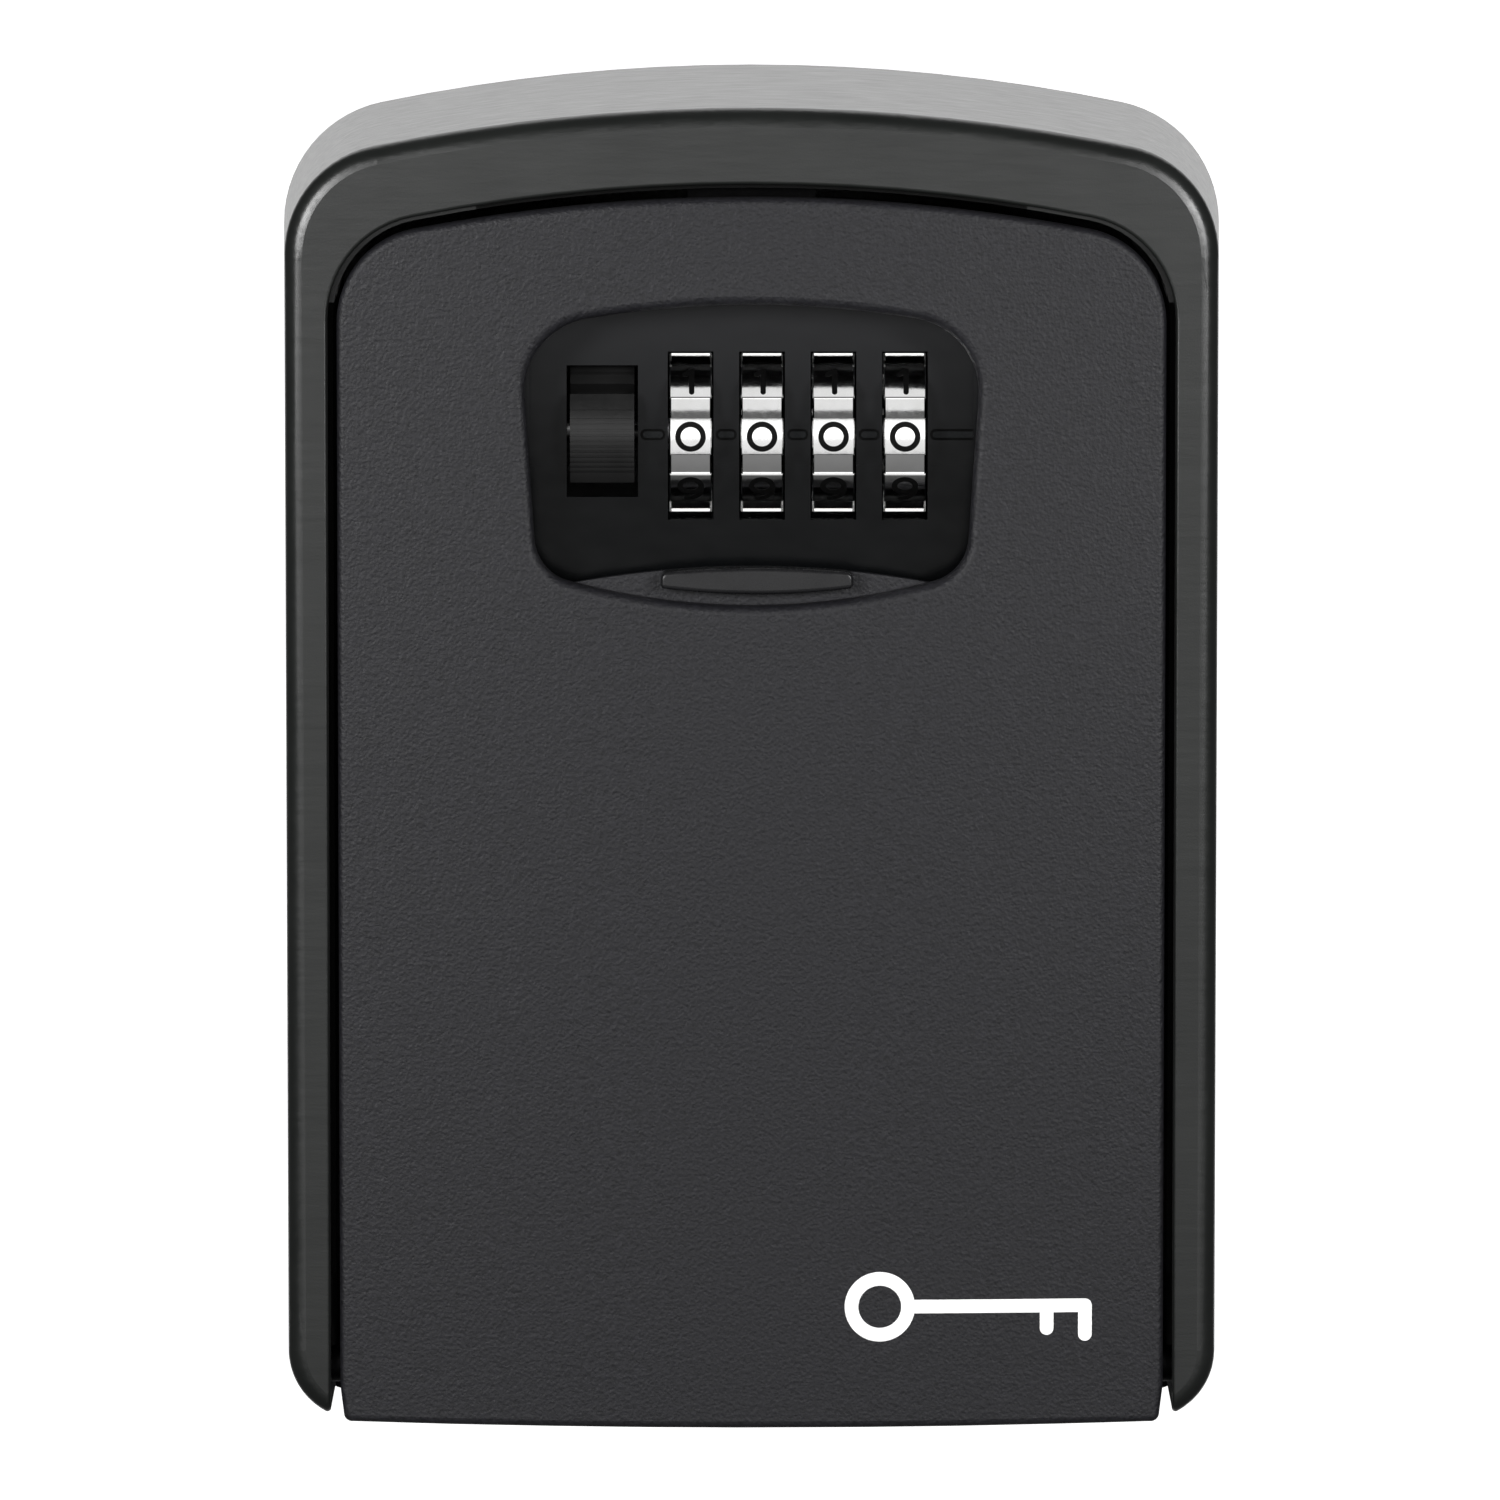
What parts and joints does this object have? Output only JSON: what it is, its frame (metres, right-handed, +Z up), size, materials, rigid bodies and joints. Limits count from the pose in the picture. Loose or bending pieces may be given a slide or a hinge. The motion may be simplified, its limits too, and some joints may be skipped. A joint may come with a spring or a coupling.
{
  "type": "key lock box",
  "caption": "Wall-mounted key safe with an arched housing, a bottom-hinged door, chrome number wheels, a release lever and a sliding shutter.",
  "frame": {"origin": "middle of the wall-screw pattern on the back face", "axes": "+X right as seen from the front, -Y out of the wall, +Z up"},
  "size_m": [0.105, 0.051, 0.1464],
  "materials": {
    "housing_paint": "satin black paint on die-cast metal",
    "door_paint": "fine textured black powder coat",
    "faceplate_plastic": "smooth semi-gloss black",
    "grip_plastic": "smooth semi-gloss black",
    "lever_plastic": "satin black",
    "cover_plastic": "fine-grained black",
    "wheel_chrome": "bright chrome plate",
    "case_zinc": "raw zinc casting",
    "steel": "zinc-plated steel",
    "spring_steel": "bright spring steel",
    "liner_rubber": "matte black foam rubber",
    "blackened_steel": "black-oxide steel",
    "sleeve_nylon": "black nylon"
  },
  "bodies": {
    "body": {"housing": "housing_paint", "compartment_liner": "liner_rubber", "hinge_pin_left": "blackened_steel", "hinge_pin_right": "blackened_steel"},
    "door": {"door_shell": "door_paint", "dial_faceplate": "faceplate_plastic", "lock_case": "case_zinc", "mechanism_cover": "cover_plastic", "cover_screws": "steel", "case_screws": "steel", "detent_spring": "spring_steel", "detent_screws": "steel"},
    "shutter_plate": {"shutter": "door_paint", "shutter_grip": "grip_plastic"},
    "dial_1": {"wheel_1": "wheel_chrome"},
    "dial_2": {"wheel_2": "wheel_chrome"},
    "dial_3": {"wheel_3": "wheel_chrome"},
    "dial_4": {"wheel_4": "wheel_chrome"},
    "shaft": {"wheel_shaft": "steel", "shaft_clips": "spring_steel", "shaft_spring": "spring_steel"},
    "sleeve_1": {"code_sleeve_1": "sleeve_nylon"},
    "sleeve_2": {"code_sleeve_2": "sleeve_nylon"},
    "sleeve_3": {"code_sleeve_3": "sleeve_nylon"},
    "sleeve_4": {"code_sleeve_4": "sleeve_nylon"},
    "release": {"release_lever": "lever_plastic"},
    "latch": {"latch_plate": "blackened_steel", "latch_spring": "spring_steel"},
    "reset": {"reset_lever": "case_zinc"}
  },
  "joints": [
    {"name": "door_hinge", "type": "hinge", "parent": "body", "child": "door", "pos_m": [0, -0.0455, -0.067], "axis": [1, 0, 0], "range_deg": [0, 95]},
    {"name": "shutter_slide", "type": "slide", "parent": "door", "child": "shutter_plate", "axis": [0, 0, 1], "range_m": [0, 0.028]},
    {"name": "dial_1_turn", "type": "hinge", "parent": "door", "child": "dial_1", "pos_m": [-0.00665, -0.0361, 0.03535], "axis": [1, 0, 0], "continuous": true},
    {"name": "dial_2_turn", "type": "hinge", "parent": "door", "child": "dial_2", "pos_m": [0.00115, -0.0361, 0.03535], "axis": [1, 0, 0], "continuous": true},
    {"name": "dial_3_turn", "type": "hinge", "parent": "door", "child": "dial_3", "pos_m": [0.00895, -0.0361, 0.03535], "axis": [1, 0, 0], "continuous": true},
    {"name": "dial_4_turn", "type": "hinge", "parent": "door", "child": "dial_4", "pos_m": [0.01675, -0.0361, 0.03535], "axis": [1, 0, 0], "continuous": true},
    {"name": "reset_slide", "type": "slide", "parent": "door", "child": "reset", "axis": [0, 0, 1], "range_m": [0, 0.004], "stiffness_N_per_m": 60, "springref_m": -0.01},
    {"name": "shaft_shift", "type": "slide", "parent": "door", "child": "shaft", "axis": [-1, 0, 0], "range_m": [0, 0.0015], "deforming": ["shaft_spring"]},
    {"name": "sleeve_1_turn", "type": "hinge", "parent": "shaft", "child": "sleeve_1", "pos_m": [-0.00665, -0.0361, 0.03535], "axis": [1, 0, 0], "continuous": true},
    {"name": "sleeve_2_turn", "type": "hinge", "parent": "shaft", "child": "sleeve_2", "pos_m": [0.00115, -0.0361, 0.03535], "axis": [1, 0, 0], "continuous": true},
    {"name": "sleeve_3_turn", "type": "hinge", "parent": "shaft", "child": "sleeve_3", "pos_m": [0.00895, -0.0361, 0.03535], "axis": [1, 0, 0], "continuous": true},
    {"name": "sleeve_4_turn", "type": "hinge", "parent": "shaft", "child": "sleeve_4", "pos_m": [0.01675, -0.0361, 0.03535], "axis": [1, 0, 0], "continuous": true},
    {"name": "release_turn", "type": "hinge", "parent": "door", "child": "release", "pos_m": [-0.0163, -0.0361, 0.03535], "axis": [1, 0, 0], "range_deg": [0, 26]},
    {"name": "latch_slide", "type": "slide", "parent": "door", "child": "latch", "axis": [0, 0, -1], "range_m": [0, 0.0022], "stiffness_N_per_m": 430, "springref_m": -0.0029, "deforming": ["latch_spring"]}
  ],
  "couplings": [
    {"joint": "sleeve_1_turn", "follows": "dial_1_turn", "ratio": 1},
    {"joint": "sleeve_2_turn", "follows": "dial_2_turn", "ratio": 1},
    {"joint": "sleeve_3_turn", "follows": "dial_3_turn", "ratio": 1},
    {"joint": "sleeve_4_turn", "follows": "dial_4_turn", "ratio": 1},
    {"joint": "shaft_shift", "follows": "reset_slide", "ratio": 0.375},
    {"joint": "release_turn", "follows": "latch_slide", "rad_per_m": 206.2}
  ]
}
